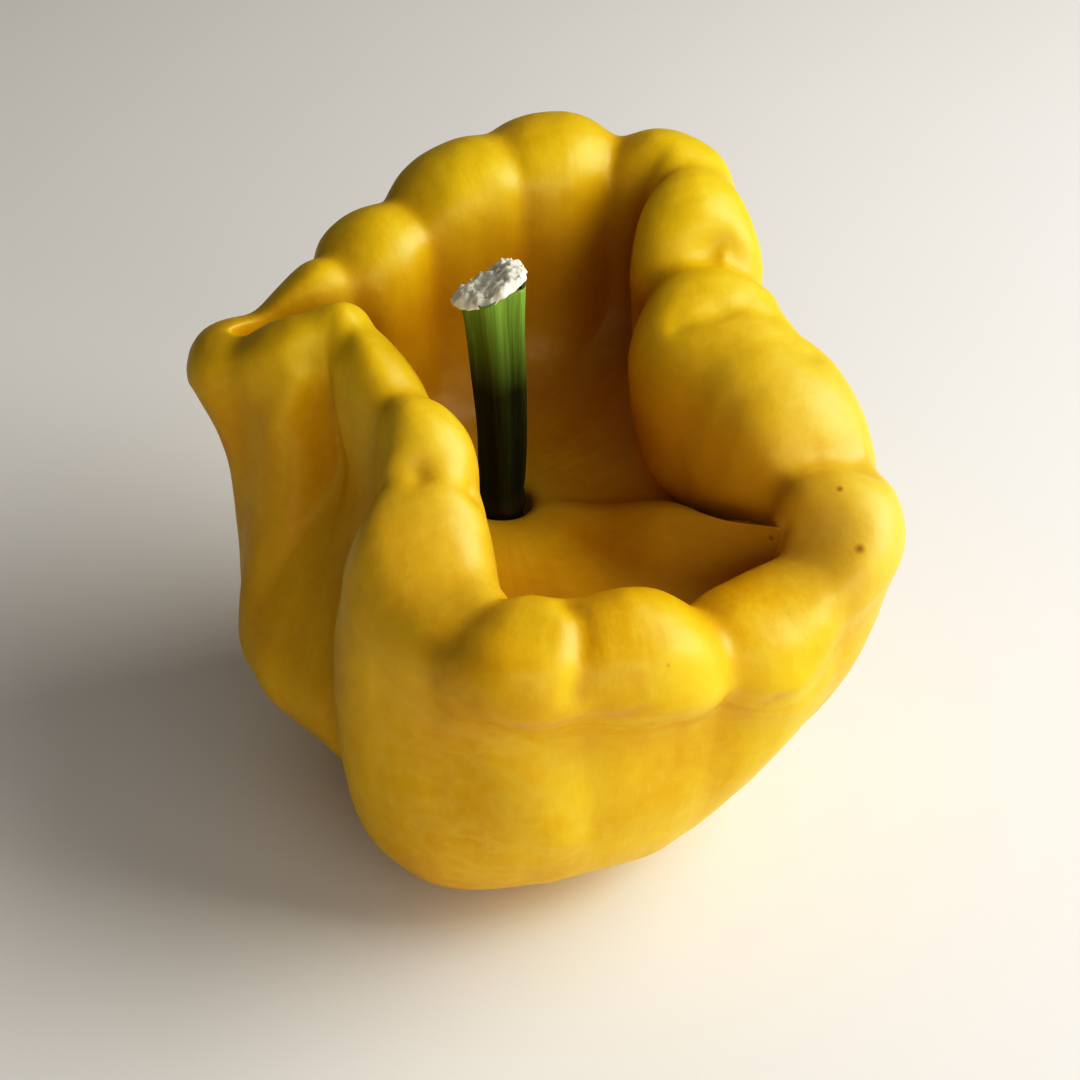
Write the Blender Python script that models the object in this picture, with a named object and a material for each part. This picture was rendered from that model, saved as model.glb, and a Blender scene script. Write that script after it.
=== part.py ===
"""Pattypan squash: one cupped golden fruit and the cut stalk in its hollow.

Metres, +Z up.  The origin is the middle of the flat the fruit rests on, and
the front of the fruit looks along -Y.  The fruit is described lobe by lobe
round its rim, in millimetres.
"""
import math

import bmesh
import bpy
import numpy as np
from mathutils import Vector, noise

MM = 0.001

# How finely the two pieces are divided: round the piece, then along it.
FRUIT_ROUND = 112
FRUIT_ALONG = 42
STALK_ROUND = 30
STALK_ALONG = 22

# The flat the fruit rests on and the floor of the cup the stalk grows from.
FLAT_RADIUS = 25.0
SEAT_X = -9.6
SEAT_Y = 14.0
SEAT_Z = 60.0
SEAT_RADIUS = 7.0
SEAT_DEPTH = 3.0
SEAT_TURN = -86.0

# The rim is a thick roll of flesh.  One line a lobe, going round anticlockwise
# as seen from above: the middle of the roll (x, y, z), then how far the flesh
# reaches from there outward, inward and upward.
ROLL = {
    "front left": (-5, -54, 71, 14.5, 12.5, 13.5),
    "front right": (21, -49, 69, 14.5, 13, 13.5),
    "right front": (43, -36, 63, 14, 15, 12.5),
    "nose": (61, -19, 77, 11, 13.5, 9),
    "ear front": (51, 6, 79, 18, 18, 19),
    "ear back": (37, 26, 88, 16, 20, 18),
    "right back": (31, 50, 102, 14, 14, 15),
    "corner": (27, 65, 106, 14, 9, 14),
    "back": (1, 69, 107, 15, 15, 15.5),
    "back left": (-21, 58, 107, 13, 13, 13),
    "left back": (-40, 41, 99, 12, 12, 12),
    "small left": (-49, 31, 98, 8, 5, 8.5),
    "knob": (-66, 18, 91, 9.5, 2, 10),
    "fin": (-53, 11, 98.5, 7, 4, 9),
    "fin top": (-41, 10.5, 101, 5.5, 7, 11),
    "inner left": (-34.5, 2, 96, 6.5, 8.5, 12),
    "cheek top": (-24, -14.5, 88.5, 9, 11, 13),
    "cheek": (-20, -29, 79, 19, 11, 14),
    "cheek front": (-14, -43, 70, 17, 9, 13),
}

# The wall under each lobe: the direction it leaves the resting flat (degrees,
# -90 is the front), its distance from the middle 12 mm and 32 mm up, then the
# waist where the lobe folds onto it: how far out from the middle of the roll,
# and how high.
WALL = {
    "front left": (-92, 53, 62, 6, 56),
    "front right": (-68, 49, 59, 4, 54),
    "right front": (-42, 46, 59, 10, 50),
    "nose": (-18, 47, 60, 6, 55),
    "ear front": (8, 46, 59.5, 12, 60),
    "ear back": (30, 47, 60, 15, 68),
    "right back": (52, 47, 61, 3.0, 80),
    "corner": (68, 48, 63, 5.0, 84),
    "back": (90, 48, 65, 4.0, 82),
    "back left": (113, 47, 63, 5.0, 82),
    "left back": (134, 47, 61, 3.5, 78),
    "small left": (151, 47, 60, 3.0, 76),
    "knob": (167, 48, 65, 1.5, 70),
    "fin": (180, 48, 66, 8, 70),
    "fin top": (190, 48, 62, 6, 72),
    "inner left": (201, 45, 54, 7, 68),
    "cheek top": (213, 43, 48, 12, 60),
    "cheek": (226, 50, 57, 22, 56),
    "cheek front": (246, 56, 62.5, 17, 52),
}

# The hollow inside each lobe: how far in and how far down from the middle of
# the roll its inner face reaches, then where that wall meets the floor: how
# far from the stalk, how high, and in which direction from it (degrees).
HOLLOW = {
    "front left": (13, 6, 41, 62, -86),
    "front right": (14, 6, 40, 62, -67),
    "right front": (18, 3, 37, 61, -46),
    "nose": (15.5, 0, 38, 71, -26),
    "ear front": (18, 11, 34, 64, -6),
    "ear back": (19, 18, 30, 65, 20),
    "right back": (12, 24, 32, 67, 44),
    "corner": (8, 26, 36, 68, 61),
    "back": (15, 26, 31, 68, 78),
    "back left": (13, 24, 26, 68, 105),
    "left back": (12, 18, 26, 71, 138),
    "small left": (5, 10, 33, 79, 162),
    "knob": (1, 6, 45, 83, 171),
    "fin": (4, 10, 36, 80, 173),
    "fin top": (7, 20, 24, 73, 176),
    "inner left": (8, 24, 13, 68, 207),
    "cheek top": (6, 20, 22, 66, 246),
    "cheek": (8, 11, 34, 64, 260),
    "cheek front": (8, 7, 41, 62, 267),
}

# The crease after each lobe: how much of the roll it takes away outside, on
# top and inside (parts of one), how deep it runs on down the wall (mm), and
# how tight it is.
CREASE = {
    "front left": (0.22, 0.10, 0.05, 1.5, 1.8),
    "front right": (0.45, 0.42, 0.2, 2.0, 2.2),
    "right front": (0.28, 0.26, 0.2, 1.5, 2.0),
    "nose": (0.25, 0.38, 0.14, 2.0, 2.4),
    "ear front": (0.06, 0.05, 0.04, 0.5, 3.0),
    "ear back": (0.25, 0.34, 0.35, 3.0, 2.6),
    "right back": (0.25, 0.20, 0.2, 3.0, 2.6),
    "corner": (0.40, 0.40, 0.3, 5.0, 2.2),
    "back": (0.25, 0.16, 0.12, 4.0, 2.6),
    "back left": (0.40, 0.36, 0.25, 5.0, 2.2),
    "left back": (0.35, 0.30, 0.2, 3.5, 2.2),
    "small left": (0.35, 0.30, 0.0, 3.0, 2.2),
    "knob": (0.30, 0.25, 0.0, 2.0, 2.2),
    "fin": (0.10, 0.05, 0.05, 0.8, 2.2),
    "fin top": (0.12, 0.16, 0.15, 1.0, 2.4),
    "inner left": (0.25, 0.36, 0.25, 1.0, 2.2),
    "cheek top": (0.14, 0.16, 0.10, 0.6, 2.6),
    "cheek": (0.0, 0.0, 0.0, 0.0, 2.2),
    "cheek front": (0.15, 0.40, 0.15, 1.0, 2.2),
}


# Slow unevenness of the skin: how high and how far apart, in millimetres.
UNEVEN_HEIGHT = 1.4
UNEVEN_SIZE = 26.0

# Dents and swellings pressed into the skin: the line each follows (x, y, z),
# its width and its height, below nought for a dent.
PRESSES = {
    "fold by the ear": (((30, -6, 66), (44, -8, 75), (56, -7, 86), (66, -8, 88)), 4.5, -2.0),
    "fold over the ear": (((20, 38, 92), (28, 40, 104), (38, 39, 110), (46, 38, 104)), 3.5, -2.5),
    "dint in the ear": (((36, 21, 107), (46, 18, 105), (54, 15, 98)), 3.5, -1.2),
    "crease of the cheek": (((-36, -23, 68), (-32, -24, 84), (-24, -24, 94), (-14, -23, 90)), 3, -2.2),
    "hollow by the cheek": (((-32, -56, 62), (-16, -64, 68)), 8, -2.0),
    "first rib of the fin": (((-38, 4, 102), (-46, -3, 76), (-55, -10, 50)), 4, 1.0),
    "second rib of the fin": (((-44, 4, 101), (-52, -1, 78), (-61, -7, 50)), 4, 1.0),
    "third rib of the fin": (((-50, 4, 98), (-58, 2, 82), (-66, -1, 55)), 4, 0.9),
}


# The stalk: middle (x, y, z) and radius at steps from its foot to its cut, in
# millimetres, and the angled ridges that run up it.
STALK = (
    (-9.6, 14, 57.3, 6.4),
    (-9.6, 14, 60.5, 6.5),
    (-9.6, 14, 63.5, 5.3),
    (-9.5, 13.8, 68, 4.7),
    (-9.5, 13.2, 78, 4.6),
    (-9.7, 12.4, 89, 4.9),
    (-9.9, 11.4, 100, 5.4),
    (-10.1, 10.4, 110, 5.9),
    (-10.3, 9.8, 117, 6.4),
)
STALK_RIDGES = 5
STALK_RIDGE_DEPTH = 0.09
STALK_TWIST = 0.5
CUT_TILT = 0.30
CUT_HOLLOW = 1.0

# Colour, roughness and metallic value of each piece.
SKIN_LOOK = ((0.76, 0.43, 0.02, 1.0), 0.38, 0.0)
STALK_LOOK = ((0.09, 0.17, 0.03, 1.0), 0.65, 0.0)


def ring_spline(knots, values, places):
    """Smooth closed curve through values set at knots in 0..1."""
    count = len(knots)
    knots = np.concatenate([knots[-2:] - 1.0, knots, knots[:2] + 1.0])
    values = np.concatenate([values[-2:], values, values[:2]])
    slopes = (values[2:] - values[:-2]) / (knots[2:] - knots[:-2])[:, None]
    left = np.clip(np.searchsorted(knots, places, side="right") - 1, 2, count + 1)
    width = (knots[left + 1] - knots[left])[:, None]
    t = ((places - knots[left]) / width[:, 0])[:, None]
    before = slopes[left - 1] * width
    after = slopes[left] * width
    return (
        values[left] * (2 * t**3 - 3 * t**2 + 1)
        + before * (t**3 - 2 * t**2 + t)
        + values[left + 1] * (3 * t**2 - 2 * t**3)
        + after * (t**3 - t**2)
    )


def line_spline(knots, points, places):
    """Smooth open curve through points[k] at knots[k], one row a place."""
    gaps = np.diff(knots)[:, None]
    steps = np.diff(points, axis=0) / gaps[..., None]
    slopes = np.empty_like(points)
    slopes[0] = steps[0]
    slopes[-1] = steps[-1]
    before = gaps[:-1, :, None]
    after = gaps[1:, :, None]
    slopes[1:-1] = (steps[:-1] * after + steps[1:] * before) / (before + after)
    left = np.clip(np.searchsorted(knots, places, side="right") - 1, 0, len(knots) - 2)
    rows = np.arange(len(places))
    width = gaps[left]
    t = ((places - knots[left]) / width[:, 0])[:, None]
    return (
        points[left, rows] * (2 * t**3 - 3 * t**2 + 1)
        + slopes[left, rows] * width * (t**3 - 2 * t**2 + t)
        + points[left + 1, rows] * (3 * t**2 - 2 * t**3)
        + slopes[left + 1, rows] * width * (t**3 - t**2)
    )


def rim_places():
    """Where each lobe sits on the way round, as parts of one."""
    middles = np.array([ROLL[name][:3] for name in ROLL], float)
    steps = np.linalg.norm(np.roll(middles, -1, axis=0) - middles, axis=1)
    ends = np.cumsum(steps) / steps.sum()
    return np.concatenate([[0.0], ends[:-1]]), ends


def heading(degrees):
    """Level direction at an angle from +X."""
    turn = np.radians(degrees)
    return np.stack([np.cos(turn), np.sin(turn), np.zeros_like(turn)], axis=-1)


def ring_outward(starts, middles, around, reach):
    """Level direction out of the roll, read over a little of its length."""
    ahead = ring_spline(starts, middles, (around + reach) % 1.0)
    behind = ring_spline(starts, middles, (around - reach) % 1.0)
    along = ahead - behind
    outward = np.stack([along[:, 1], -along[:, 0], np.zeros(len(along))], axis=1)
    return outward / np.linalg.norm(outward, axis=1)[:, None]


def section(around):
    """The seventeen points of the cut through the fruit at each place round it."""
    starts, ends = rim_places()
    table = np.array([ROLL[n] + WALL[n] + HOLLOW[n] for n in ROLL], float)
    for turned in (6, 15):
        angles = np.unwrap(np.radians(table[:, turned]))
        table[:, turned] = np.degrees(angles) - 360.0 * starts
    row = ring_spline(starts, table, around)
    row[:, 6] += 360.0 * around
    row[:, 15] += 360.0 * around
    outward = ring_outward(starts, table[:, :3], around, 0.014)
    inward = -ring_outward(starts, table[:, :3], around, 0.045)

    cut = np.zeros((len(around), 4))
    middles = np.append(starts, 1.0)
    for index, name in enumerate(ROLL):
        out, top, inner, wall, tight = CREASE[name]
        where = 0.5 * (middles[index] + ends[index])
        half = 0.5 * (ends[index] - middles[index])
        gap = np.abs((around - where + 0.5) % 1.0 - 0.5) / half
        share = np.clip(1.0 - np.sqrt(gap**2 + 0.006), 0.0, 1.0) ** tight
        cut += share[:, None] * np.array([out, top, inner, wall])

    up = np.array([0.0, 0.0, 1.0])
    middle = row[:, :3]
    out = (row[:, 3] * (1 - cut[:, 0]))[:, None]
    inn = (row[:, 4] * (1 - cut[:, 2]))[:, None]
    top = (row[:, 5] * (1 - cut[:, 1]))[:, None]
    foot = heading(row[:, 6])
    low = (row[:, 7] - 0.3 * cut[:, 3])[:, None]
    belly = (row[:, 8] - 0.8 * cut[:, 3])[:, None]
    waist = middle + outward * (row[:, 9] - cut[:, 3])[:, None]
    waist[:, 2] = row[:, 10]
    face = middle + inward * (row[:, 11] * (1 - 0.8 * cut[:, 2]))[:, None]
    face[:, 2] -= row[:, 12]
    seat = np.array([SEAT_X, SEAT_Y, SEAT_Z])
    ray = heading(row[:, 15])
    corner = seat + ray * row[:, 13][:, None]
    corner[:, 2] = row[:, 14]
    ring = heading(SEAT_TURN + 360.0 * around)
    floor = seat + (ray * 0.65 + ring * 0.35) * (row[:, 13] * 0.6)[:, None]
    floor[:, 2] = SEAT_Z + 0.35 * (row[:, 14] - SEAT_Z)
    side = middle + out * outward
    tuck = np.clip(1.0 - row[:, 9] / row[:, 3], 0.0, 1.0)[:, None]
    under = middle + 0.84 * out * outward - 0.55 * out * up
    under = tuck * under + (1 - tuck) * (side + 0.35 * (waist - side))
    points = [
        foot * 0.0,
        foot * FLAT_RADIUS,
        foot * low + up * 12.0,
        foot * belly + up * 32.0,
        waist,
        under,
        side,
        middle + 0.72 * out * outward + 0.72 * top * up,
        middle + top * up,
        middle + 0.72 * inn * inward + 0.72 * top * up,
        middle + inn * inward,
        face,
        corner,
        floor,
        seat + ring * (SEAT_RADIUS + 1.6) + up * 0.6,
        seat + ring * SEAT_RADIUS - up * SEAT_DEPTH,
        np.tile(seat - up * SEAT_DEPTH, (len(around), 1)),
    ]
    return np.array(points)


# How far along the cut each of its points sits, as parts of one.
KNOTS = np.array([0, 9, 18, 27, 38, 46, 53, 60, 67, 74, 81, 89, 99, 107, 114, 117.5, 121]) / 121.0


def fruit_surface(around, along):
    """Points of the skin, in millimetres, for places round and along the cut."""
    points = section(around)
    return line_spline(KNOTS, points, along)


def press(points, normals):
    """Move points of the skin by its unevenness and by every line in PRESSES."""
    waves = [noise.noise(Vector(place) / UNEVEN_SIZE) for place in points]
    moved = points + normals * (UNEVEN_HEIGHT * np.array(waves))[:, None]
    for line, width, height in PRESSES.values():
        line = np.array(line, float)
        nearest = np.full(len(points), 1e9)
        for start, end in zip(line[:-1], line[1:]):
            run = end - start
            share = np.clip((points - start) @ run / (run @ run), 0.0, 1.0)
            gap = np.linalg.norm(points - start - share[:, None] * run, axis=1)
            nearest = np.minimum(nearest, gap)
        push = height * np.exp(-((nearest / width) ** 2))
        moved += normals * push[:, None]
    return moved


def look(name, values):
    """A plain material with one colour."""
    colour, roughness, metallic = values
    material = bpy.data.materials.new(name)
    material.use_nodes = True
    shader = material.node_tree.nodes["Principled BSDF"]
    shader.inputs["Base Color"].default_value = colour
    shader.inputs["Roughness"].default_value = roughness
    shader.inputs["Metallic"].default_value = metallic
    return material


def make_fruit():
    """Push a ball into the shape of the fruit."""
    mesh = bpy.data.meshes.new("squash_fruit")
    ball = bmesh.new()
    bmesh.ops.create_uvsphere(ball, u_segments=FRUIT_ROUND, v_segments=FRUIT_ALONG, radius=1.0)
    at = np.array([v.co for v in ball.verts])
    around = (np.arctan2(at[:, 1], at[:, 0]) / (2 * math.pi)) % 1.0
    along = np.arccos(np.clip(-at[:, 2], -1, 1)) / math.pi
    skin = fruit_surface(around, along)
    for vert, place in zip(ball.verts, skin):
        vert.co = place * MM
    ball.normal_update()
    skin = press(skin, np.array([v.normal for v in ball.verts]))
    skin[:, 2] = np.maximum(skin[:, 2], 0.0)
    for vert, place in zip(ball.verts, skin):
        vert.co = place * MM
    ball.to_mesh(mesh)
    ball.free()
    fruit = bpy.data.objects.new("squash_fruit", mesh)
    bpy.context.collection.objects.link(fruit)
    mesh.materials.append(look("golden squash skin", SKIN_LOOK))
    mesh.shade_smooth()
    return fruit


def make_stalk():
    """Draw a ball out into the ridged stalk with its tilted cut."""
    mesh = bpy.data.meshes.new("stem")
    ball = bmesh.new()
    bmesh.ops.create_uvsphere(ball, u_segments=STALK_ROUND, v_segments=STALK_ALONG, radius=1.0)
    at = np.array([v.co for v in ball.verts])
    turn = np.arctan2(at[:, 1], at[:, 0])
    along = np.arccos(np.clip(-at[:, 2], -1, 1)) / math.pi
    rise = np.clip((along - 0.12) / 0.74, 0.0, 1.0)
    steps = np.array(STALK, float)
    knots = (steps[:, 2] - steps[0, 2]) / (steps[-1, 2] - steps[0, 2])
    points = np.repeat(steps[:, None, :], len(at), axis=1)
    line = line_spline(knots, points, rise)
    share = np.minimum(np.clip(along / 0.12, 0.0, 1.0), np.clip((1.0 - along) / 0.14, 0.0, 1.0))
    strength = np.clip((rise - 0.03) / 0.12, 0.0, 1.0) * STALK_RIDGE_DEPTH
    ridge = 1.0 + strength * np.cos(STALK_RIDGES * (turn + STALK_TWIST * rise))
    radius = line[:, 3] * share * ridge
    across = radius * np.cos(turn)
    lift = np.where(along > 0.86, CUT_HOLLOW * (share**2 - 1.0), 0.0)
    height = line[:, 2] + lift + CUT_TILT * across * rise**6
    place = np.stack([line[:, 0] + across, line[:, 1] + radius * np.sin(turn), height], axis=1)
    for vert, spot in zip(ball.verts, place):
        vert.co = spot * MM
    bmesh.ops.recalc_face_normals(ball, faces=ball.faces)
    ball.to_mesh(mesh)
    ball.free()
    stalk = bpy.data.objects.new("stem", mesh)
    bpy.context.collection.objects.link(stalk)
    mesh.materials.append(look("green squash stalk", STALK_LOOK))
    mesh.shade_smooth()
    return stalk


if __name__ == "__main__":
    for leftover in list(bpy.data.objects):
        bpy.data.objects.remove(leftover)
    make_fruit()
    make_stalk()
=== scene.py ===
# %% [markdown]
# # A cupped pattypan squash
#
# A pattypan is a summer squash that grows as a flat round with a scalloped
# edge.  This one has curled up into a deep cup: its thick edge, folded into
# lobes, stands round a hollow with the cut green stalk in the middle.  The
# fruit and the stalk grew as one, so nothing here moves.  We load the measured
# model first, because every finer piece has to lie where it says.

import math

import bmesh
import bpy
import numpy as np
from mathutils import Matrix, Vector, noise


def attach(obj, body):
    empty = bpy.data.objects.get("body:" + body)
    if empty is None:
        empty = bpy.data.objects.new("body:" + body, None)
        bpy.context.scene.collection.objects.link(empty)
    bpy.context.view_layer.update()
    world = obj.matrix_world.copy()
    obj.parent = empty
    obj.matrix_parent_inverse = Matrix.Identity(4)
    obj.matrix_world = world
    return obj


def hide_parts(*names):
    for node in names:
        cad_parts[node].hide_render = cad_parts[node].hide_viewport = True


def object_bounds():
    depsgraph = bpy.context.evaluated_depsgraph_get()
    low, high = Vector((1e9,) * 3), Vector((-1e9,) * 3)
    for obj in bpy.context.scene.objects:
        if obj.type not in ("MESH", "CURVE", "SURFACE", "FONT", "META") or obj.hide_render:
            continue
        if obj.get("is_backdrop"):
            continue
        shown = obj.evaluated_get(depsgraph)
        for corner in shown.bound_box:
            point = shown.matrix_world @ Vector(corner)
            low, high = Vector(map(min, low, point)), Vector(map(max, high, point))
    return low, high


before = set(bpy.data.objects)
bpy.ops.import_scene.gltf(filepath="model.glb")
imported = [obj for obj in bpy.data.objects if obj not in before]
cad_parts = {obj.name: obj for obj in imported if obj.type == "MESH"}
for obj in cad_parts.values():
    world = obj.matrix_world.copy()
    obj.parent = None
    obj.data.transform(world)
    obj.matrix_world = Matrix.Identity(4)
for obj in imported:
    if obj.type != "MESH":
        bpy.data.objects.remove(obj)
measured_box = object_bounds()
MM = 0.001
print("nodes:", sorted(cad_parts))
print("measured box:", measured_box)

# %% [markdown]
# ## Looking at it
#
# The eye is in front of the fruit and well above it, close enough for the
# near lobes to look larger than the far ones.  A lens of fixed length from
# that place keeps the foreshortening true.  We say where the camera stands and
# what it looks at, and turn it with a look-at matrix, so there is no roll to
# guess.

# %% Camera
EYE = Vector((5, -440, 394)) * MM
LOOK_AT = Vector((-1, 5, 57)) * MM
LENS = 88.0


def look_at(eye, target):
    """Placement of something at eye whose -Z axis points at target."""
    turn = (target - eye).to_track_quat("-Z", "Y")
    return Matrix.Translation(eye) @ turn.to_matrix().to_4x4()


camera = bpy.data.objects.new("camera", bpy.data.cameras.new("camera"))
camera.data.lens = LENS
camera.matrix_world = look_at(EYE, LOOK_AT)
bpy.context.collection.objects.link(camera)
bpy.context.scene.camera = camera
print("camera distance mm:", round((LOOK_AT - EYE).length / MM))

# %% [markdown]
# ## Light
#
# Daylight comes low from the right and a little from the front, through
# something as wide as a window, so each lobe has one soft highlight on its
# right shoulder and a brown shade on its left, and the near rim keeps the
# light from the bottom of the cup.  A large area light does that.  A second,
# weaker one stands in for what the room throws back from the front, and a dim
# world keeps the shade from going black.  Lamps are placed by their bearing,
# their height above the table's plane in degrees and their distance.

# %% Lights
# Bearing and height in degrees, distance in millimetres, width and height in
# metres, watts and colour.  They are aimed at a point above the table's middle.
AIM = Vector((0, 0, 60))
SKY_STRENGTH = 0.16
LIGHTS = {
    "window": (4, 33, 800, 0.70, 0.65, 8.3, (1.0, 0.98, 0.94)),
    "room": (-66, 18, 800, 0.80, 0.45, 2.2, (1.0, 0.98, 0.95)),
}
for name, (bearing, height, far, wide, tall, power, colour) in LIGHTS.items():
    up, turned = math.radians(height), math.radians(bearing)
    level = far * math.cos(up)
    place = AIM + Vector((level * math.cos(turned), level * math.sin(turned), far * math.sin(up)))
    lamp = bpy.data.objects.new(name, bpy.data.lights.new(name, "AREA"))
    lamp.data.shape = "RECTANGLE"
    lamp.data.size, lamp.data.size_y = wide, tall
    lamp.data.energy = power
    lamp.data.color = colour
    lamp.matrix_world = look_at(place * MM, AIM * MM)
    bpy.context.collection.objects.link(lamp)

world = bpy.data.worlds.new("pale room")
world.use_nodes = True
sky = world.node_tree.nodes["Background"].inputs
sky["Color"].default_value = (1.0, 0.99, 0.97, 1)
sky["Strength"].default_value = SKY_STRENGTH
bpy.context.scene.world = world
print("lights:", list(LIGHTS))

# %% [markdown]
# ## How light becomes a picture
#
# The scene's light has to be squeezed into what a screen can show.  Blender's
# usual AgX curve bleaches strong yellows, so a squash would look like cheese.
# The plain Standard curve keeps them, as long as nothing is lit past white.
# Over it lies the gentle S of a film: faint light is pressed down a little and
# bright light lifted, so the grey haze goes and the gold stays pure.

# %% Colour curve
# Light that comes in and what is shown for it, on the curve for all colours.
FILM = ((0.03, 0.010), (0.10, 0.062), (0.20, 0.158), (0.35, 0.34), (0.55, 0.59), (0.75, 0.81))
ALL_COLOURS = 3
view = bpy.context.scene.view_settings
view.view_transform = "Standard"
view.look = "None"
view.use_curve_mapping = True
film = view.curve_mapping.curves[ALL_COLOURS]
for light, shown in FILM:
    film.points.new(light, shown)
view.curve_mapping.update()
print("view transform:", view.view_transform, "with", len(film.points), "points on the curve")

# %% [markdown]
# ## Colours and nodes
#
# Colours are picked as sRGB hex values, as a paint chart gives them, and made
# linear once, here, because light is summed in linear numbers.  A material is
# a small network of nodes, so one helper adds a node, sets it and links it.

# %% Helpers for materials


def srgb(hex_code):
    """Linear colour of an sRGB hex value such as "E3A21A"."""
    parts = [int(hex_code[k : k + 2], 16) / 255 for k in (0, 2, 4)]
    linear = [c / 12.92 if c <= 0.04045 else ((c + 0.055) / 1.055) ** 2.4 for c in parts]
    return (*linear, 1.0)


def connect(tree, node, inputs):
    """Link the inputs that are given another node's output, and set the rest."""
    for key, value in inputs.items():
        if isinstance(value, bpy.types.NodeSocket):
            tree.links.new(value, node.inputs[key])
        else:
            node.inputs[key].default_value = value


def add(tree, kind, inputs=None, **settings):
    """Add a node, set its properties, then connect its inputs."""
    node = tree.nodes.new(kind)
    for key, value in settings.items():
        setattr(node, key, value)
    connect(tree, node, inputs or {})
    return node


def per_mm(size):
    """Noise scale for features of a size in mm, for places in metres."""
    return 1.0 / (size * MM)


def new_material(name):
    """A node material, its tree and its shader."""
    material = bpy.data.materials.new(name)
    material.use_nodes = True
    return material, material.node_tree, material.node_tree.nodes["Principled BSDF"]


print("golden yellow in linear numbers:", [round(c, 3) for c in srgb("E3A21A")])
print("scale for 20 mm patches:", per_mm(20))

# %% [markdown]
# ## The table top
#
# The fruit stands on a plain pale board.  One large square is enough, but a
# painted board is never one colour all over, so a faint drift of tone goes
# across it, in patches about 170 mm wide.

# %% Table top
HALF_BOARD = 3.0  # metres
DRIFT_SIZE = 1000 / 6  # mm
board = bmesh.new()
bmesh.ops.create_grid(board, x_segments=1, y_segments=1, size=HALF_BOARD)
floor_mesh = bpy.data.meshes.new("table_top")
board.to_mesh(floor_mesh)
board.free()
floor = bpy.data.objects.new("table_top", floor_mesh)
bpy.context.collection.objects.link(floor)

# Matt white emulsion paint on a smooth board: bright, with almost no gloss.
paint, tree, shader = new_material("matt white emulsion paint")
spot = add(tree, "ShaderNodeTexCoord").outputs["Object"]
values = {"Vector": spot, "Scale": per_mm(DRIFT_SIZE), "Detail": 2.0}
drift = add(tree, "ShaderNodeTexNoise", values).outputs["Fac"]
tones = {0: drift, 6: srgb("F3F1ED"), 7: srgb("EFECE7")}
tone = add(tree, "ShaderNodeMix", tones, data_type="RGBA").outputs[2]
connect(tree, shader, {"Base Color": tone, "Roughness": 0.75})
floor_mesh.materials.append(paint)
floor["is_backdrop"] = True
print("floor:", floor.name)

# %% [markdown]
# ## The rim, lobe by lobe
#
# The rim is a thick roll of flesh that has buckled into lobes, much as the
# edge of a lettuce leaf frills, because it grew faster than the middle.  It
# could be sculpted by hand, but then no two lobes could be compared or changed
# on their own.  So each lobe gets one line in a table: where the middle of the
# roll is, and how far the flesh reaches outward, inward and upward from there.
# Lengths are in millimetres, and the lobes go round anticlockwise as seen from
# above, starting at the front.

# %% The roll
ROLL = {
    "front left": (-5, -54, 71, 14.5, 12.5, 13.5),
    "front right": (21, -49, 69, 14.5, 13, 13.5),
    "right front": (43, -36, 63, 14, 15, 12.5),
    "nose": (61, -19, 77, 11, 13.5, 9),
    "ear front": (51, 6, 79, 18, 18, 19),
    "ear back": (37, 26, 88, 16, 20, 18),
    "right back": (31, 50, 102, 14, 14, 15),
    "corner": (27, 65, 106, 14, 9, 14),
    "back": (1, 69, 107, 15, 15, 15.5),
    "back left": (-21, 58, 107, 13, 13, 13),
    "left back": (-40, 41, 99, 12, 12, 12),
    "small left": (-49, 31, 98, 8, 5, 8.5),
    "knob": (-66, 18, 91, 9.5, 2, 10),
    "fin": (-53, 11, 98.5, 7, 4, 9),
    "fin top": (-41, 10.5, 101, 5.5, 7, 11),
    "inner left": (-34.5, 2, 96, 6.5, 8.5, 12),
    "cheek top": (-24, -14.5, 88.5, 9, 11, 13),
    "cheek": (-20, -29, 79, 19, 11, 14),
    "cheek front": (-14, -43, 70, 17, 9, 13),
}
print("lobes and folds in the rim:", len(ROLL))

# %% [markdown]
# ## The outside wall
#
# Below the rim the squash narrows to the small flat it rests on, which is the
# blossom end.  For each lobe we say which way its wall leaves that flat, how
# far out it is low down and at the belly, and then the waist, where the roll
# folds over onto the wall.

# %% The wall
# Direction in degrees (-90 is the front), distance from the middle 12 mm and
# 32 mm up, then the waist: how far out from the middle of the roll, how high.
WALL = {
    "front left": (-92, 53, 62, 6, 56),
    "front right": (-68, 49, 59, 4, 54),
    "right front": (-42, 46, 59, 10, 50),
    "nose": (-18, 47, 60, 6, 55),
    "ear front": (8, 46, 59.5, 12, 60),
    "ear back": (30, 47, 60, 15, 68),
    "right back": (52, 47, 61, 3.0, 80),
    "corner": (68, 48, 63, 5.0, 84),
    "back": (90, 48, 65, 4.0, 82),
    "back left": (113, 47, 63, 5.0, 82),
    "left back": (134, 47, 61, 3.5, 78),
    "small left": (151, 47, 60, 3.0, 76),
    "knob": (167, 48, 65, 1.5, 70),
    "fin": (180, 48, 66, 8, 70),
    "fin top": (190, 48, 62, 6, 72),
    "inner left": (201, 45, 54, 7, 68),
    "cheek top": (213, 43, 48, 12, 60),
    "cheek": (226, 50, 57, 22, 56),
    "cheek front": (246, 56, 62.5, 17, 52),
}
print("widest belly, mm:", max(row[2] for row in WALL.values()))

# %% [markdown]
# ## The hollow
#
# Inside, each lobe has a face that comes down from the roll and turns into the
# floor round the stalk.  The turn is tight at the back, where the wall stands
# up steeply, and wide at the front.

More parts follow.
